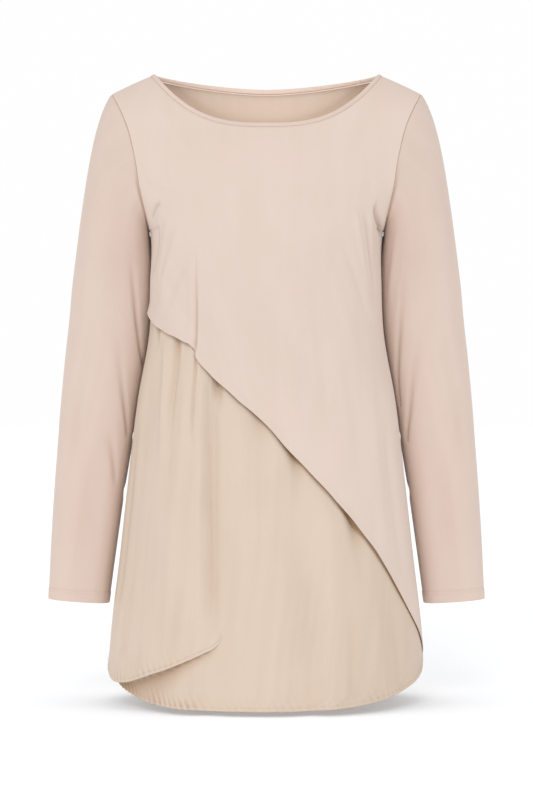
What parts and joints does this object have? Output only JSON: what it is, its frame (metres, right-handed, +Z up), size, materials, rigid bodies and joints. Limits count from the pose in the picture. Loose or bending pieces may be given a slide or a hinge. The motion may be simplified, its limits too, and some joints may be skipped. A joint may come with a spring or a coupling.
{
  "type": "tunic top",
  "caption": "Long-sleeved scoop-neck tunic top with a slanting jersey overlay over a beige satin front with a shirt-tail hem, filled out as if worn.",
  "frame": {"origin": "centre of the neck, level with the neck ends of the shoulder seams, where the wearer's shoulders hold the top up", "axes": "+Z up; the front faces -Y; +X towards the wearer's left sleeve"},
  "size_m": [0.5474, 0.287, 0.779],
  "materials": {
    "jersey": "matte blush jersey with a fine knit",
    "satin": "soft beige satin crepe with a low sheen",
    "lining": "beige satin, dull inner side",
    "binding": "blush jersey binding, folded and stitched"
  },
  "bodies": {
    "root": {"front_underlay": "satin", "front_overlap": "satin", "front_overlay": "jersey", "back": "jersey", "back_lining": "lining", "sleeve_right": "jersey", "sleeve_left": "jersey", "neck_binding": "binding"}
  },
  "joints": []
}
